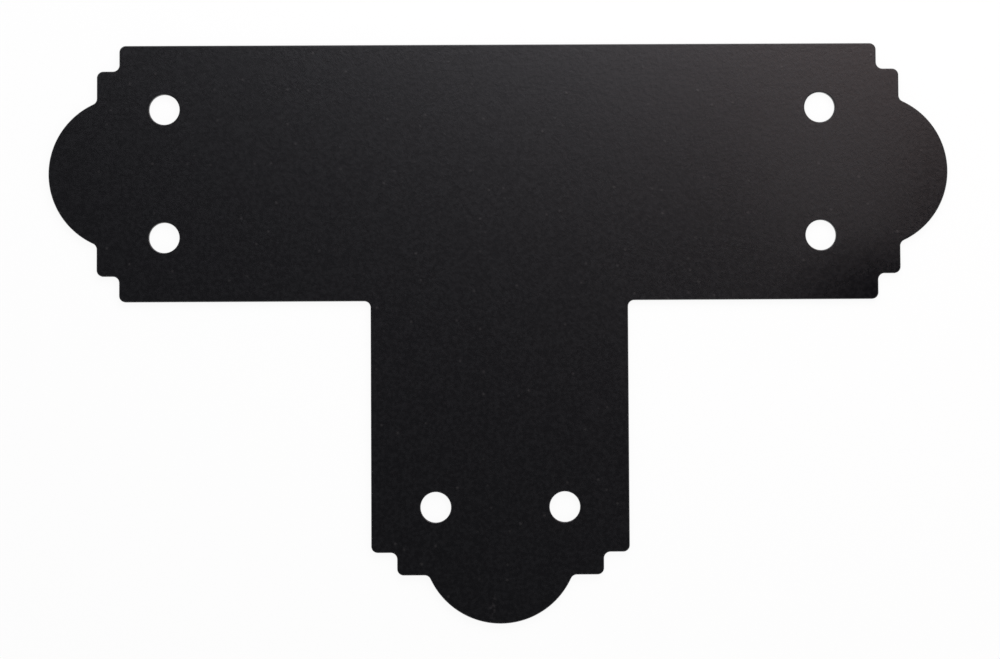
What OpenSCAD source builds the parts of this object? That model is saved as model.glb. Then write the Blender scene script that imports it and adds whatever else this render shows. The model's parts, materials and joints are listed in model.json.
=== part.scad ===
// T plate for joining a timber post to a beam: one flat sheet of black coated steel.
// It lies on its back face. X runs along the bar, the stem points to -Y and +Z is the front.
// The origin is where the centrelines of the bar and the stem cross, on the back face.

/* [Plate] */
// Thickness of the coated sheet
plate_t = 2.8; // [2:0.1:6]
// Length of the bar, from lobe tip to lobe tip
bar_l = 444.5; // [400:0.5:520]
// Width of the bar
bar_w = 127; // [116:0.5:150]
// Height of the plate, from the bar's top edge to the tip of the stem's lobe
plate_h = 285.75; // [250:0.25:360]
// Width of the stem
stem_w = 127; // [116:0.5:150]

/* [Stepped ends] */
// How far each shoulder steps in from the side of its arm
shoulder_w = 12.7; // [10:0.1:18]
// Depth of the step along the arm
step_d = 11.1; // [10:0.1:16]
// Radius of the round lobe
lobe_r = 38.1; // [30:0.1:42]
// How far the lobe stands out from the step
lobe_out = 23.8; // [14:0.1:28]

/* [Corners and edges] */
// Radius of the outside corners
corner_r = 3.2; // [1:0.1:4.5]
// Radius of the inside corners
fillet_r = 3.2; // [1:0.1:4.5]
// Rounding of the sheet's edges, on both faces
edge_r = 0.5; // [0.1:0.05:0.8]

/* [Screw holes] */
// Diameter of each hole
hole_d = 15; // [8:0.1:20]
// Distance between the two holes of a pair, centre to centre
pair_spacing = 63.5; // [40:0.5:80]
// Distance of the left pair from the bar's left square end
left_setback = 22.2; // [15:0.1:50]
// Distance of the right pair from the bar's right square end
right_setback = 28.2; // [15:0.1:50]
// Distance of the stem's pair from its square end
stem_setback = 22.2; // [15:0.1:50]

/* [Hidden] */
// Sides of a full circle
$fn = 96;

// Black of the coating, as red, green and blue
coat_black = [0.1, 0.1, 0.105];
// How far a cutter runs past each face
overcut = 1;
// How far the arc of an inside corner dips into the lobe, so that the two cross cleanly
arc_dip = 0.001;
// From the crossing of the centrelines to the square end of each arm
bar_reach = bar_l / 2 - step_d - lobe_out;
stem_reach = plate_h - bar_w / 2 - step_d - lobe_out;

// From the crossing of the centrelines to the centre of an arm's lobe
function lobe_centre(reach) = reach + step_d + lobe_out - lobe_r;

// A shape and its mirror image
module with_mirror_image(normal) {
    children();
    mirror(normal) children();
}

// Section through the sheet with rounded edges, centred across its width, standing on its back face
module sheet_section(width) {
    translate([0, plate_t / 2]) {
        square([width, plate_t - 2 * edge_r], center = true);
        square([width - 2 * edge_r, plate_t], center = true);
        for (side = [-1, 1], face = [-1, 1])
            translate([side * (width / 2 - edge_r), face * (plate_t / 2 - edge_r)])
                circle(edge_r);
    }
}

// Round piece of sheet
module disc(radius) {
    rotate_extrude()
        intersection() {
            sheet_section(2 * radius);
            square([radius, plate_t]);
        }
}

// Strip of sheet along X from the crossing, with a square end whose two corners are rounded
module tab(length, width) {
    rotate([90, 0, 90])
        linear_extrude(length - corner_r)
            sheet_section(width);
    translate([length / 2, width / 2 - corner_r, 0])
        rotate([90, 0, 0])
            linear_extrude(width - 2 * corner_r)
                sheet_section(length);
    for (side = [-1, 1])
        translate([length - corner_r, side * (width / 2 - corner_r), 0])
            disc(corner_r);
}

// Round cutter that flares at both faces, so that the edge it leaves is rounded
module flared_cutter(radius) {
    rotate_extrude()
        difference() {
            translate([0, -overcut])
                square([radius + edge_r, plate_t + 2 * overcut]);
            translate([radius + 2 * edge_r, 0])
                sheet_section(4 * edge_r);
        }
}

// Web that fills an inside corner up to an arc. The arc's centre lies outside the sheet,
// and the two directions point from it, anticlockwise, to where the arc runs out.
module inside_corner(centre, first, second) {
    // Long enough to end inside the sheet on both sides of the corner
    web = 3 * fillet_r;
    translate(centre)
        difference() {
            linear_extrude(plate_t)
                polygon([[0, 0], web * first, web * second]);
            flared_cutter(fillet_r);
        }
}

// Inside corner between the square end of an arm and the side of its step
module step_corner(reach, width) {
    centre = [reach + fillet_r, width / 2 - shoulder_w + fillet_r];
    inside_corner(centre, [-1, 0], [0, -1]);
}

// Inside corner between the end of a step and the lobe
module lobe_corner(reach) {
    centre_x = reach + step_d + fillet_r;
    along = centre_x - lobe_centre(reach);
    apart = lobe_r + fillet_r - arc_dip;
    across = sqrt(pow(apart, 2) - pow(along, 2));
    to_lobe = [-along, -across] / apart;
    inside_corner([centre_x, across], [-1, 0], to_lobe);
}

// One arm along +X from the crossing, with its stepped and lobed end
module arm(reach, width) {
    tab(reach, width);
    tab(reach + step_d, width - 2 * shoulder_w);
    translate([lobe_centre(reach), 0, 0])
        disc(lobe_r);
    with_mirror_image([0, 1, 0]) {
        step_corner(reach, width);
        lobe_corner(reach);
    }
}

// Cutters for two holes side by side across an arm
module hole_pair() {
    for (side = [-1, 1])
        translate([0, side * pair_spacing / 2, 0])
            flared_cutter(hole_d / 2);
}

// The two inside corners where the stem leaves the bar
module stem_corners() {
    with_mirror_image([1, 0, 0])
        inside_corner([stem_w / 2 + fillet_r, -bar_w / 2 - fillet_r], [0, 1], [-1, 0]);
}

// The whole plate
module t_plate() {
    color(coat_black)
        difference() {
            union() {
                arm(bar_reach, bar_w);
                rotate(180) arm(bar_reach, bar_w);
                rotate(-90) arm(stem_reach, stem_w);
                stem_corners();
            }
            translate([left_setback - bar_reach, 0, 0]) hole_pair();
            translate([bar_reach - right_setback, 0, 0]) hole_pair();
            translate([0, stem_setback - stem_reach, 0]) rotate(90) hole_pair();
        }
}

t_plate();
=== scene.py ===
"""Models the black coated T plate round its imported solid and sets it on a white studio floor.

The sheet is traced as an outline, filled, thickened and rounded along its edges with edit-mode
operators. Its powder coat is a procedural material. All lengths are in metres, in the frame of the
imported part: X along the bar, -Y down the stem, +Z out of the front face.
"""

import json
import math

import bmesh
import bpy
from bpy.props import FloatProperty, FloatVectorProperty, PointerProperty
from mathutils import Matrix, Vector


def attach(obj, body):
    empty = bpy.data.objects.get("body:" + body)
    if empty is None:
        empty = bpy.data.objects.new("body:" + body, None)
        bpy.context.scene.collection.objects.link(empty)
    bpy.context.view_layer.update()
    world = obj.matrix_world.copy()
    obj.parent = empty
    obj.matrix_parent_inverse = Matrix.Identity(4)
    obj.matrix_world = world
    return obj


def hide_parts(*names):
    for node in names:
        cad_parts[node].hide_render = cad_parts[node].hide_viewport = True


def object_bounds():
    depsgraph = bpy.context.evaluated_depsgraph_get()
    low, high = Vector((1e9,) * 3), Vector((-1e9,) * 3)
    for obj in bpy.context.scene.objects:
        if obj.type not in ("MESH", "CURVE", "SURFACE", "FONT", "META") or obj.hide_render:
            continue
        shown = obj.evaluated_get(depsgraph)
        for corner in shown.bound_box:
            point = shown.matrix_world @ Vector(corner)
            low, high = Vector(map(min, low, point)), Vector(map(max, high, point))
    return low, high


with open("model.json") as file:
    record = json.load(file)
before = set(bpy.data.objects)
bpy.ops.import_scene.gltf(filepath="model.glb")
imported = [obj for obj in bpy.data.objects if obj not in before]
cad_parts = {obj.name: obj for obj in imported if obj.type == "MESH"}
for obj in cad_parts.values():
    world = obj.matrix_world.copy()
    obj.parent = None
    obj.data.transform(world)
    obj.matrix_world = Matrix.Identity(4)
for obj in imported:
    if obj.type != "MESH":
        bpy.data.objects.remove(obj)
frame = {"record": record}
CAD_LOW, CAD_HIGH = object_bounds()
MOUNTS = {mount["name"]: mount for mount in frame["record"]["mounts"]}
MM = 0.001
QUARTER_TURN = math.pi / 2.0
# Least part along Z of the normal of a face that looks up or down, and of one that lies flat
FACING = 0.5
FLAT = 0.9999
# Values of the grain between which the coat's colour changes, and its roughness
BLOOM_RANGE = (0.35, 0.75)
ROUGHNESS_RANGE = (0.25, 0.75)
# Heights on the room's dome, 0 at the horizon and 1 overhead, between which the walls' light fades
WALL_FADE = (0.4, 0.8)

bl_info = {
    "name": "Coated T plate",
    "version": (1, 0, 0),
    "blender": (4, 5, 0),
    "location": "View3D > Sidebar > T plate",
    "description": "Models a black coated T plate and a white studio floor to show it on",
    "category": "Object",
}


def size_of(name, description, millimetres):
    """A property for one length, given in millimetres and kept in metres."""
    return FloatProperty(
        name=name, description=description, default=millimetres * MM,
        min=0.0, precision=5, subtype="DISTANCE", unit="LENGTH",
    )


def colour_of(name, description, red, green, blue):
    """A property for one colour, in linear red, green and blue."""
    return FloatVectorProperty(
        name=name, description=description, default=(red, green, blue),
        size=3, min=0.0, max=1.0, precision=4, subtype="COLOR",
    )


def amount_of(name, description, default):
    """A property for a plain number from zero to one."""
    return FloatProperty(name=name, description=description, default=default, min=0.0, max=1.0)


def power_of(name, description, watts):
    """A property for a lamp's power, in watts."""
    return FloatProperty(name=name, description=description, default=watts, min=0.0, unit="POWER")


def place_of(name, description, default):
    """A property for a point in the part's frame, or for lengths along its three axes."""
    return FloatVectorProperty(
        name=name, description=description, default=default,
        size=3, precision=5, subtype="TRANSLATION", unit="LENGTH",
    )


class PlateSizes(bpy.types.PropertyGroup):
    """Sizes of the sheet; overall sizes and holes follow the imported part"""

    bar_length: size_of(
        "Bar length", "From lobe tip to lobe tip", (CAD_HIGH.x - CAD_LOW.x) / MM
    )
    plate_height: size_of(
        "Plate height", "From the bar's top edge to the tip of the stem's lobe",
        (CAD_HIGH.y - CAD_LOW.y) / MM,
    )
    thickness: size_of("Thickness", "Thickness of the coated sheet", (CAD_HIGH.z - CAD_LOW.z) / MM)
    bar_width: size_of("Bar width", "Width of the bar", 127)
    stem_width: size_of("Stem width", "Width of the stem", 127)
    shoulder_width: size_of("Shoulder", "How far each shoulder steps in", 12.7)
    step_depth: size_of("Step", "Depth of the step along an arm", 11.1)
    lobe_radius: size_of("Lobe radius", "Radius of the round lobe", 38.1)
    lobe_out: size_of("Lobe reach", "How far the lobe stands out from the step", 23.8)
    corner_radius: size_of("Outside corners", "Radius of the outside corners", 3.2)
    fillet_radius: size_of("Inside corners", "Radius of the inside corners", 3.2)
    edge_radius: size_of("Edge rounding", "Rounding of the sheet's edges, on both faces", 0.5)
    hole_radius: size_of(
        "Hole radius", "Radius of the screw holes", MOUNTS["bar_holes"]["dims"]["hole_r_mm"]
    )
    fineness: size_of("Fineness", "How far an arc's straight pieces may leave the true arc", 0.005)


class CoatFinish(bpy.types.PropertyGroup):
    """Look of the powder coat"""

    black: colour_of("Black", "Main colour of the coat", 0.0024, 0.0025, 0.0036)
    bloom: colour_of("Bloom", "Paler colour where the grain is driest", 0.0042, 0.0044, 0.0058)
    # Painted glint: a paler colour on the stray grains that stands in for the highlights their small
    # bumps catch
    speck_glint: colour_of("Specks", "Colour of the stray pale grains", 0.020, 0.019, 0.020)
    scuff: colour_of("Scuff", "Colour of the rub mark near the stem's tip", 0.022, 0.020, 0.022)
    smooth: amount_of("Smooth", "Roughness where the grain has flowed out most", 0.333)
    rough: amount_of("Rough", "Roughness where the grain is driest", 0.368)
    pebble_size: size_of("Pebble size", "Spacing of the fine pebbles", 0.8)
    pebble_height: size_of("Pebble height", "Height of the fine pebbles", 0.008)
    grain_size: size_of("Grain size", "Spacing of the uneven grain", 1.7)
    grain_height: size_of("Grain height", "Height of the uneven grain", 0.034)
    grain_detail: amount_of("Grain detail", "Share of finer grain in the uneven grain", 0.8)
    ripple_size: size_of("Ripple size", "Spacing of the soft ripple in the coat", 5)
    ripple_height: size_of("Ripple height", "Height of the soft ripple", 0.013)
    ripple_detail: amount_of("Ripple detail", "Share of finer ripple in the soft ripple", 1.0)
    speck_spacing: size_of("Speck spacing", "Spacing of the stray grains", 8.5)
    speck_radius: size_of("Speck radius", "Radius of a stray grain", 1.1)
    speck_height: size_of("Speck height", "Height of a stray grain", 0.03)
    scuff_place: place_of("Scuff place", "Middle of the rub mark", (-0.0039, -0.2132, 0.0028))
    scuff_size: place_of("Scuff size", "Half sizes of the rub mark", (0.0026, 0.0080, 0.0080))
    scuff_fade: amount_of("Scuff fade", "Outer share of the rub mark over which it fades", 0.8)
    corner_place: place_of(
        "Corner place", "Middle of the smoother patch at the bar's lower right corner",
        (0.191, -0.0643, 0.0028),
    )
    corner_size: place_of("Corner size", "Half sizes of the corner's patch", (0.064, 0.042, 0.042))
    corner_sleek: amount_of("Corner sleekness", "How much less rough the corner's patch is", 0.135)
    corner_relief: amount_of("Corner relief", "Share of the relief that the corner's patch keeps", 0.1)
    tip_place: place_of(
        "Tip place", "Middle of the smoother patch at the bar's right tip", (0.238, -0.022, 0.0028)
    )
    tip_size: place_of("Tip size", "Half sizes of the tip's patch", (0.055, 0.075, 0.075))
    tip_sleek: amount_of("Tip sleekness", "How much less rough the tip's patch is", 0.055)
    dry_place: place_of(
        "Dry place", "Middle of the rougher patch in the bar's right arm", (0.163, 0.006, 0.0028)
    )
    dry_size: place_of("Dry size", "Half sizes of the rougher patch", (0.062, 0.080, 0.080))
    dryness: amount_of("Dryness", "How much rougher the rougher patch is", 0.06)


class StudioSetup(bpy.types.PropertyGroup):
    """Floor, room, lamps and camera"""

    floor_size: size_of("Floor size", "Length of the floor's sides", 40000)
    floor_drop: size_of("Floor drop", "How far the floor lies below the plate's back face", 0.1)
    floor_colour: colour_of("Floor", "Colour of the floor", 0.95, 0.95, 0.95)
    floor_glow: amount_of("Floor glow", "Share of the floor that shows as plain white", 0.93)
    wall_light: amount_of("Walls", "Brightness of the room's walls, low all round", 0.33)
    ceiling_light: amount_of("Ceiling", "Brightness of the room's dim ceiling", 0.01)
    key_place: place_of("Key place", "Middle of the softbox over the bar", (0.116, 0.456, 0.5))
    key_target: place_of("Key target", "Point that the softbox looks at", (0.03, -0.03, 0.0))
    key_roll: FloatProperty(
        name="Key roll", description="Turn of the softbox about its own axis", default=-0.2,
        subtype="ANGLE", unit="ROTATION",
    )
    key_width: size_of("Key width", "Width of the softbox", 760)
    key_height: size_of("Key height", "Height of the softbox", 570)
    warm_width: size_of("Warm width", "Width of the softbox's warm right-hand part", 190)
    key_colour: colour_of("Key colour", "Colour of the softbox's wide part", 0.965, 0.94, 1.0)
    warm_colour: colour_of("Warm colour", "Colour of the softbox's warm part", 1.0, 0.746, 0.714)
    key_power: power_of("Key power", "Power of the softbox's wide part", 4.04)
    warm_power: power_of("Warm power", "Power of the softbox's warm part", 1.25)
    fill_reach: size_of("Fill reach", "How far the side lamps stand from the middle", 1300)
    fill_rise: size_of("Fill rise", "How high the side lamps hang", 800)
    fill_width: size_of("Fill width", "Width of a side lamp", 1700)
    fill_height: size_of("Fill height", "Height of a side lamp", 1130)
    fill_colour: colour_of("Fill colour", "Colour of the side lamps and the walls", 0.98, 1.0, 1.0)
    front_power: power_of("Front power", "Power of the lamp below the stem", 5.9)
    left_power: power_of("Left power", "Power of the left side lamp", 3.6)
    right_power: power_of("Right power", "Power of the right side lamp", 7.5)
    camera_place: place_of("Camera place", "Where the camera stands", (-0.00997, -0.13098, 1.23394))
    camera_turn: FloatVectorProperty(
        name="Camera turn", description="How the camera is turned from looking straight down",
        default=tuple(math.radians(angle) for angle in (2.4743, -0.4632, -0.3015)),
        size=3, precision=5, subtype="EULER", unit="ROTATION",
    )
    camera_lens: FloatProperty(
        name="Lens", description="Focal length of the camera", default=90.0, min=1.0, unit="CAMERA",
    )


class OutlinePen:
    """Draws a chain of edges in edit mode by extruding and spinning its last vertex."""

    def __init__(self, place, heading, fineness):
        self.place = Vector(place)
        self.heading = Vector(heading)
        self.fineness = fineness
        bpy.ops.transform.translate(value=self.place)

    def run(self, length):
        """Extrude the vertex straight on."""
        step = self.heading * length
        bpy.ops.mesh.extrude_region_move(TRANSFORM_OT_translate={"value": step})
        self.place += step

    def turn(self, radius, angle):
        """Spin the vertex round an arc; a positive angle turns to the left."""
        left = Vector((-self.heading.y, self.heading.x, 0.0))
        centre = self.place + left * math.copysign(radius, angle)
        # The operator turns clockwise about its axis, so the axis points down
        bpy.ops.mesh.spin(
            steps=arc_pieces(radius, abs(angle), self.fineness),
            angle=angle, center=centre, axis=(0.0, 0.0, -1.0),
        )
        turning = Matrix.Rotation(angle, 3, "Z")
        self.place = centre + turning @ (self.place - centre)
        self.heading = turning @ self.heading

    def follow(self, moves):
        """Make a list of moves: a number is a straight run, a pair an arc's radius and angle."""
        for move in moves:
            if isinstance(move, tuple):
                self.turn(*move)
            else:
                self.run(move)


def arc_pieces(radius, angle, fineness):
    """How many straight pieces keep an arc within the fineness."""
    piece = 2.0 * math.acos(1.0 - fineness / radius)
    return math.ceil(angle / piece)


def arm_end(sizes, width):
    """Moves round the stepped and lobed end of an arm, from one of its sides to the other."""
    corner = (sizes.corner_radius, QUARTER_TURN)
    inside = (sizes.fillet_radius, -QUARTER_TURN)
    corners = sizes.corner_radius + sizes.fillet_radius
    # Middle of the arc at the lobe's root, seen from the lobe's own centre
    apart = sizes.lobe_radius + sizes.fillet_radius
    along = apart - sizes.lobe_out
    opening = math.acos(along / apart)
    across = apart * math.sin(opening)
    ledge = width / 2.0 - sizes.shoulder_width - sizes.corner_radius - across
    half = [
        corner, sizes.shoulder_width - corners,
        inside, sizes.step_depth - corners,
        corner, ledge,
        (sizes.fillet_radius, -opening),
    ]
    lobe = (sizes.lobe_radius, 2.0 * opening)
    return half + [lobe] + half[::-1]


def trace_outline(sizes, height):
    """Trace the plate's outline at a height, anticlockwise from the middle of the bar's top edge."""
    end_depth = sizes.step_depth + sizes.lobe_out
    bar_reach = sizes.bar_length / 2.0 - end_depth
    stem_reach = sizes.plate_height - sizes.bar_width / 2.0 - end_depth
    corners = sizes.corner_radius + sizes.fillet_radius
    top_half = bar_reach - sizes.corner_radius
    under_side = bar_reach - sizes.stem_width / 2.0 - corners
    stem_side = stem_reach - sizes.bar_width / 2.0 - corners
    inside = (sizes.fillet_radius, -QUARTER_TURN)
    bar_end = arm_end(sizes, sizes.bar_width)
    stem_end = arm_end(sizes, sizes.stem_width)
    pen = OutlinePen((0.0, sizes.bar_width / 2.0, height), (-1.0, 0.0, 0.0), sizes.fineness)
    pen.follow([top_half] + bar_end + [under_side, inside, stem_side])
    pen.follow(stem_end)
    pen.follow([stem_side, inside, under_side] + bar_end + [top_half])


def hole_centres():
    """Centres of the six screw holes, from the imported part's mounts."""
    bar, stem = MOUNTS["bar_holes"], MOUNTS["stem_holes"]
    along = bar["dims"]["spacing_x_mm"] * MM / 2.0
    across = bar["dims"]["spacing_y_mm"] * MM / 2.0
    beside = stem["dims"]["spacing_x_mm"] * MM / 2.0
    bar_x, bar_y = bar["pos_m"][:2]
    stem_x, stem_y = stem["pos_m"][:2]
    centres = [(bar_x + x, bar_y + y) for x in (-along, along) for y in (-across, across)]
    return centres + [(stem_x - beside, stem_y), (stem_x + beside, stem_y)]


def choose_faces(plate, wanted):
    """Select the faces of the plate in edit mode that a test picks out."""
    mesh = bmesh.from_edit_mesh(plate.data)
    for face in mesh.faces:
        face.select_set(wanted(face))
    mesh.select_flush_mode()
    bmesh.update_edit_mesh(plate.data)


def round_rim(sizes):
    """Draw the selected faces in and outwards along a quarter circle, so that every rim is rounded."""
    pieces = arc_pieces(sizes.edge_radius, QUARTER_TURN, sizes.fineness)
    for piece in range(pieces):
        start, end = (QUARTER_TURN * step / pieces for step in (piece, piece + 1))
        bpy.ops.mesh.inset(
            thickness=sizes.edge_radius * (math.cos(start) - math.cos(end)),
            depth=sizes.edge_radius * (math.sin(end) - math.sin(start)),
            use_boundary=True, use_even_offset=True,
        )


def model_plate(sizes):
    """Model the plate: outline and holes, filled, thickened and rounded along every edge."""
    low, high = sizes.edge_radius, sizes.thickness - sizes.edge_radius
    bpy.ops.object.select_all(action="DESELECT")
    bpy.ops.mesh.primitive_plane_add(size=sizes.thickness)
    plate = bpy.context.object
    plate.name = plate.data.name = "plate"
    bpy.ops.object.mode_set(mode="EDIT")
    bpy.ops.mesh.select_mode(type="VERT")
    bpy.ops.mesh.merge(type="CENTER")
    trace_outline(sizes, low)
    bpy.ops.mesh.select_all(action="SELECT")
    bpy.ops.mesh.remove_doubles(threshold=sizes.fineness)
    sides = arc_pieces(sizes.hole_radius, 2.0 * math.pi, sizes.fineness)
    for x, y in hole_centres():
        bpy.ops.mesh.primitive_circle_add(
            vertices=sides, radius=sizes.hole_radius, fill_type="NOTHING", location=(x, y, low)
        )
    bpy.ops.mesh.select_all(action="SELECT")
    bpy.ops.mesh.fill(use_beauty=True)
    bpy.ops.mesh.select_all(action="SELECT")
    bpy.ops.mesh.extrude_region_move(TRANSFORM_OT_translate={"value": (0.0, 0.0, high - low)})
    bpy.ops.mesh.select_all(action="SELECT")
    bpy.ops.mesh.normals_make_consistent(inside=False)
    bpy.ops.mesh.select_mode(type="FACE")
    choose_faces(plate, lambda face: face.normal.z > FACING)
    round_rim(sizes)
    choose_faces(plate, lambda face: face.normal.z < -FACING)
    round_rim(sizes)
    bpy.ops.mesh.select_all(action="SELECT")
    bpy.ops.mesh.faces_shade_smooth()
    choose_faces(plate, lambda face: abs(face.normal.z) > FLAT)
    bpy.ops.mesh.faces_shade_flat()
    bpy.ops.object.mode_set(mode="OBJECT")
    return plate


def check_closed(plate):
    """Stop if the plate's mesh has an open edge or a loose vertex."""
    shape = bmesh.new()
    shape.from_mesh(plate.data)
    closed = all(edge.is_manifold for edge in shape.edges)
    joined = all(vert.link_faces for vert in shape.verts)
    shape.free()
    if not (closed and joined):
        raise RuntimeError("The plate's mesh is not closed")


def add_node(tree, kind, **settings):
    """Add a shader node and set its own settings, such as its operation."""
    node = tree.nodes.new(kind)
    for name, value in settings.items():
        setattr(node, name, value)
    return node


def feed(tree, socket, value):
    """Link another node's output to a socket, or set the socket to a number, vector or colour."""
    if isinstance(value, bpy.types.NodeSocket):
        tree.links.new(value, socket)
    elif socket.type == "RGBA":
        socket.default_value = (*value, 1.0)
    else:
        socket.default_value = value


def noise(tree, coords, size, detail):
    """A noise texture with features of about the given size."""
    node = add_node(tree, "ShaderNodeTexNoise")
    for name, value in (("Vector", coords), ("Scale", 1.0 / size), ("Detail", detail)):
        feed(tree, node.inputs[name], value)
    return node.outputs["Fac"]


def cell_distance(tree, coords, spacing):
    """How far each point is from the nearest of many scattered points, as a share of their spacing."""
    node = add_node(tree, "ShaderNodeTexVoronoi", feature="F1")
    for name, value in (("Vector", coords), ("Scale", 1.0 / spacing)):
        feed(tree, node.inputs[name], value)
    return node.outputs["Distance"]


def spread(tree, value, low, high, to_low, to_high):
    """Map a value from one range to another, smoothly and clamped."""
    node = add_node(tree, "ShaderNodeMapRange", interpolation_type="SMOOTHSTEP")
    names = ("Value", "From Min", "From Max", "To Min", "To Max")
    for name, given in zip(names, (value, low, high, to_low, to_high)):
        feed(tree, node.inputs[name], given)
    return node.outputs["Result"]


def combine(tree, operation, first, second):
    """Join two values, or a value and a number, with a math node."""
    node = add_node(tree, "ShaderNodeMath", operation=operation)
    for socket, value in zip(node.inputs, (first, second)):
        feed(tree, socket, value)
    return node.outputs["Value"]


def tint(tree, mask, under, over):
    """Lay a colour over another where a mask is high; each is a colour or another node's output."""
    node = add_node(tree, "ShaderNodeMix", data_type="RGBA")
    feed(tree, node.inputs["Factor"], mask)
    sockets = [socket for socket in node.inputs if socket.type == "RGBA"]
    for socket, value in zip(sockets, (under, over)):
        feed(tree, socket, value)
    return next(socket for socket in node.outputs if socket.type == "RGBA")


def stray_specks(tree, coords, coat):
    """Mask of the sparse stray grains, the small balls that the surface happens to cut; it raises them
    as bumps and places their painted glint.
    """
    cells = cell_distance(tree, coords, coat.speck_spacing)
    return spread(tree, cells, 0.0, coat.speck_radius / coat.speck_spacing, 1.0, 0.0)


def soft_spot(tree, coords, place, half_sizes, fade=1.0):
    """Mask of one soft oval spot, which fades out over the given outer share of its half sizes."""
    placed = add_node(tree, "ShaderNodeMapping", vector_type="TEXTURE")
    for name, value in (("Vector", coords), ("Location", place), ("Scale", half_sizes)):
        feed(tree, placed.inputs[name], value)
    ball = add_node(tree, "ShaderNodeTexGradient", gradient_type="SPHERICAL")
    feed(tree, ball.inputs["Vector"], placed.outputs["Vector"])
    return spread(tree, ball.outputs["Fac"], 0.0, fade, 0.0, 1.0)


def coat_colour(tree, coords, coat, grain, specks_and_glints):
    """Colour of the coat: black with a paler bloom, a painted glint on the stray grains, and the rub
    mark.
    """
    dry_grain = spread(tree, grain, *BLOOM_RANGE, 0.0, 1.0)
    colour = tint(tree, dry_grain, coat.black, coat.bloom)
    # Painted glint: the stray grains get a paler colour in place of the highlights on their bumps
    colour = tint(tree, specks_and_glints, colour, coat.speck_glint)
    rub_mark = soft_spot(tree, coords, coat.scuff_place, coat.scuff_size, coat.scuff_fade)
    return tint(tree, combine(tree, "MULTIPLY", rub_mark, dry_grain), colour, coat.scuff)


def coat_roughness(tree, coords, coat, grain, corner_patch):
    """Roughness of the coat: it follows the grain, and is less in two patches and more in a third."""
    roughness = spread(tree, grain, *ROUGHNESS_RANGE, coat.smooth, coat.rough)
    tip_patch = soft_spot(tree, coords, coat.tip_place, coat.tip_size)
    dry_patch = soft_spot(tree, coords, coat.dry_place, coat.dry_size)
    for operation, patch, change in (
        ("SUBTRACT", corner_patch, coat.corner_sleek),
        ("SUBTRACT", tip_patch, coat.tip_sleek),
        ("ADD", dry_patch, coat.dryness),
    ):
        roughness = combine(tree, operation, roughness, combine(tree, "MULTIPLY", patch, change))
    return roughness


def coat_relief(tree, coords, coat, grain, specks_and_glints, corner_patch):
    """Height of the coat's pebbles, grain, ripple and stray grains, in metres; low in the corner."""
    pebbles = spread(tree, cell_distance(tree, coords, coat.pebble_size), 0.0, 1.0, 1.0, 0.0)
    ripple = noise(tree, coords, coat.ripple_size, coat.ripple_detail)
    height = combine(tree, "MULTIPLY", pebbles, coat.pebble_height)
    for layer, amount in (
        (grain, coat.grain_height), (ripple, coat.ripple_height), (specks_and_glints, coat.speck_height)
    ):
        height = combine(tree, "ADD", height, combine(tree, "MULTIPLY", layer, amount))
    kept_relief = spread(tree, corner_patch, 0.0, 1.0, 1.0, coat.corner_relief)
    return combine(tree, "MULTIPLY", height, kept_relief)


def powder_coat(coat):
    """Black powder coat, uneven in its colour, its roughness and its height."""
    material = bpy.data.materials.new("black powder coat")
    material.use_nodes = True
    tree = material.node_tree
    shader = tree.nodes["Principled BSDF"]
    coords = add_node(tree, "ShaderNodeTexCoord").outputs["Object"]
    grain = noise(tree, coords, coat.grain_size, coat.grain_detail)
    specks_and_glints = stray_specks(tree, coords, coat)
    corner_patch = soft_spot(tree, coords, coat.corner_place, coat.corner_size)
    bump = add_node(tree, "ShaderNodeBump")
    # The relief is in metres already, so it is taken as it is
    feed(tree, bump.inputs["Distance"], 1.0)
    feed(tree, bump.inputs["Height"], coat_relief(tree, coords, coat, grain, specks_and_glints, corner_patch))
    feed(tree, shader.inputs["Base Color"], coat_colour(tree, coords, coat, grain, specks_and_glints))
    feed(tree, shader.inputs["Roughness"], coat_roughness(tree, coords, coat, grain, corner_patch))
    feed(tree, shader.inputs["Normal"], bump.outputs["Normal"])
    return material


def floor_paint(studio):
    """Pale floor that shows mostly white to the camera and still takes the plate's shadow."""
    material = bpy.data.materials.new("studio floor")
    material.use_nodes = True
    tree = material.node_tree
    tree.nodes.remove(tree.nodes["Principled BSDF"])
    matt = add_node(tree, "ShaderNodeBsdfDiffuse")
    feed(tree, matt.inputs["Color"], studio.floor_colour)
    glow = add_node(tree, "ShaderNodeEmission")
    path = add_node(tree, "ShaderNodeLightPath").outputs
    seen = combine(tree, "MAXIMUM", path["Is Camera Ray"], path["Is Glossy Ray"])
    seen = combine(tree, "MAXIMUM", seen, path["Is Transmission Ray"])
    share = combine(tree, "MULTIPLY", seen, studio.floor_glow)
    blend = add_node(tree, "ShaderNodeMixShader")
    for socket, value in zip(blend.inputs, (share, matt.outputs["BSDF"], glow.outputs["Emission"])):
        feed(tree, socket, value)
    feed(tree, tree.nodes["Material Output"].inputs["Surface"], blend.outputs["Shader"])
    return material


def dim_room(studio):
    """Room that is pale low down all round and dim overhead, so that the coat stays black."""
    room = bpy.data.worlds.new("dim room")
    room.use_nodes = True
    tree = room.node_tree
    direction = add_node(tree, "ShaderNodeTexCoord").outputs["Generated"]
    parts = add_node(tree, "ShaderNodeSeparateXYZ")
    feed(tree, parts.inputs["Vector"], direction)
    light = spread(tree, parts.outputs["Z"], *WALL_FADE, studio.wall_light, studio.ceiling_light)
    backdrop = tree.nodes["Background"]
    feed(tree, backdrop.inputs["Color"], studio.fill_colour)
    feed(tree, backdrop.inputs["Strength"], light)
    return room


def lamp_turn(place, target, roll=0.0):
    """Turn of a lamp that looks at a target, rolled about its own axis."""
    aim = (Vector(target) - Vector(place)).to_track_quat("-Z", "Y")
    return aim.to_matrix() @ Matrix.Rotation(roll, 3, "Z")


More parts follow.
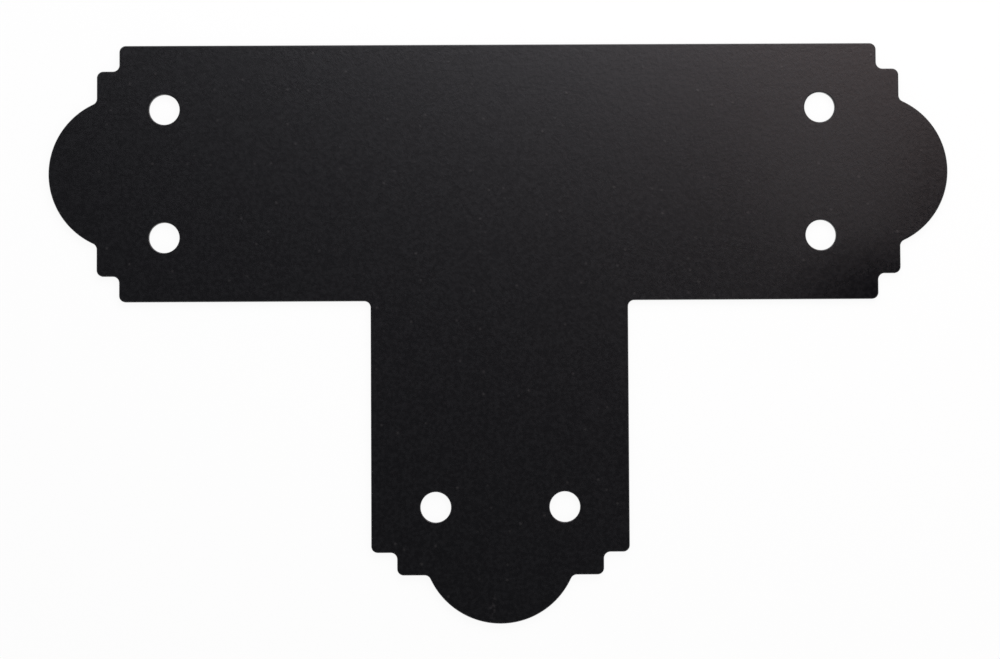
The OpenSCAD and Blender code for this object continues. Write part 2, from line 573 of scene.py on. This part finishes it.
def add_panel(name, place, turned, width, height, power, colour):
    """Add a soft rectangular lamp."""
    bpy.ops.object.light_add(type="AREA", location=place, rotation=turned.to_euler())
    lamp = bpy.context.object
    lamp.name = lamp.data.name = name
    lamp.data.shape = "RECTANGLE"
    lamp.data.size, lamp.data.size_y = width, height
    lamp.data.energy = power
    lamp.data.color = colour


def add_key(studio):
    """Add the softbox over the bar: a wide panel with a narrow warm one on its right."""
    turned = lamp_turn(studio.key_place, studio.key_target, studio.key_roll)
    wide = studio.key_width - studio.warm_width
    # The lamp faces down, so its own X runs from right to left
    for name, aside, width, power, colour in (
        ("key panel", studio.warm_width / 2.0, wide, studio.key_power, studio.key_colour),
        ("warm panel", -wide / 2.0, studio.warm_width, studio.warm_power, studio.warm_colour),
    ):
        place = Vector(studio.key_place) + turned @ Vector((aside, 0.0, 0.0))
        add_panel(name, place, turned, width, studio.key_height, power, colour)


def add_fills(studio):
    """Add the weak lamps in front and on both sides, which look at the frame's origin."""
    reach, rise = studio.fill_reach, studio.fill_rise
    width, height = studio.fill_width, studio.fill_height
    for name, place, power in (
        ("front fill", (0.0, -reach, rise), studio.front_power),
        ("left fill", (-reach, 0.0, rise), studio.left_power),
        ("right fill", (reach, 0.0, rise), studio.right_power),
    ):
        turned = lamp_turn(place, (0.0, 0.0, 0.0))
        add_panel(name, place, turned, width, height, power, studio.fill_colour)


def add_floor(studio):
    """Add the floor a hair below the plate's back face."""
    place = (0.0, 0.0, -studio.floor_drop)
    bpy.ops.mesh.primitive_plane_add(size=studio.floor_size, location=place)
    floor = bpy.context.object
    floor.name = floor.data.name = "floor"
    floor.data.materials.append(floor_paint(studio))


def add_camera(studio):
    """Add the camera at the photograph's viewing angle, nearly straight above the plate."""
    bpy.ops.object.camera_add(location=studio.camera_place, rotation=studio.camera_turn)
    camera = bpy.context.object
    camera.name = camera.data.name = "camera"
    camera.data.lens = studio.camera_lens
    bpy.context.scene.camera = camera


class TPLATE_OT_plate(bpy.types.Operator):
    """Model the coated plate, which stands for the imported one"""

    bl_idname = "tplate.plate"
    bl_label = "Coated plate"
    bl_options = {"REGISTER", "UNDO"}

    def execute(self, context):
        plate = model_plate(context.scene.plate_sizes)
        check_closed(plate)
        plate.data.materials.append(powder_coat(context.scene.coat_finish))
        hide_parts("t_plate")
        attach(plate, "root")
        return {"FINISHED"}


class TPLATE_OT_studio(bpy.types.Operator):
    """Set out the floor, the lamps, the dim room and the camera"""

    bl_idname = "tplate.studio"
    bl_label = "Studio"
    bl_options = {"REGISTER", "UNDO"}

    def execute(self, context):
        studio = context.scene.studio_setup
        bpy.ops.object.select_all(action="DESELECT")
        add_floor(studio)
        add_key(studio)
        add_fills(studio)
        context.scene.world = dim_room(studio)
        context.scene.view_settings.view_transform = "Standard"
        add_camera(studio)
        return {"FINISHED"}


class VIEW3D_PT_tplate(bpy.types.Panel):
    """Sizes, finish and studio of the T plate"""

    bl_label = "T plate"
    bl_space_type = "VIEW_3D"
    bl_region_type = "UI"
    bl_category = "T plate"

    def draw(self, context):
        scene = context.scene
        for group, operator in (
            (scene.plate_sizes, None),
            (scene.coat_finish, TPLATE_OT_plate.bl_idname),
            (scene.studio_setup, TPLATE_OT_studio.bl_idname),
        ):
            box = self.layout.box()
            for name in group.bl_rna.properties.keys():
                if name not in ("rna_type", "name"):
                    box.prop(group, name)
            if operator:
                box.operator(operator)


CLASSES = (PlateSizes, CoatFinish, StudioSetup, TPLATE_OT_plate, TPLATE_OT_studio, VIEW3D_PT_tplate)


def register():
    """Register the classes and hang their settings on the scene."""
    for cls in CLASSES:
        bpy.utils.register_class(cls)
    bpy.types.Scene.plate_sizes = PointerProperty(type=PlateSizes)
    bpy.types.Scene.coat_finish = PointerProperty(type=CoatFinish)
    bpy.types.Scene.studio_setup = PointerProperty(type=StudioSetup)


def unregister():
    """Take the settings off the scene and unregister the classes."""
    del bpy.types.Scene.plate_sizes
    del bpy.types.Scene.coat_finish
    del bpy.types.Scene.studio_setup
    for cls in reversed(CLASSES):
        bpy.utils.unregister_class(cls)


def main():
    """Build the plate and the studio."""
    register()
    bpy.ops.tplate.plate()
    bpy.ops.tplate.studio()


if __name__ == "__main__":
    main()
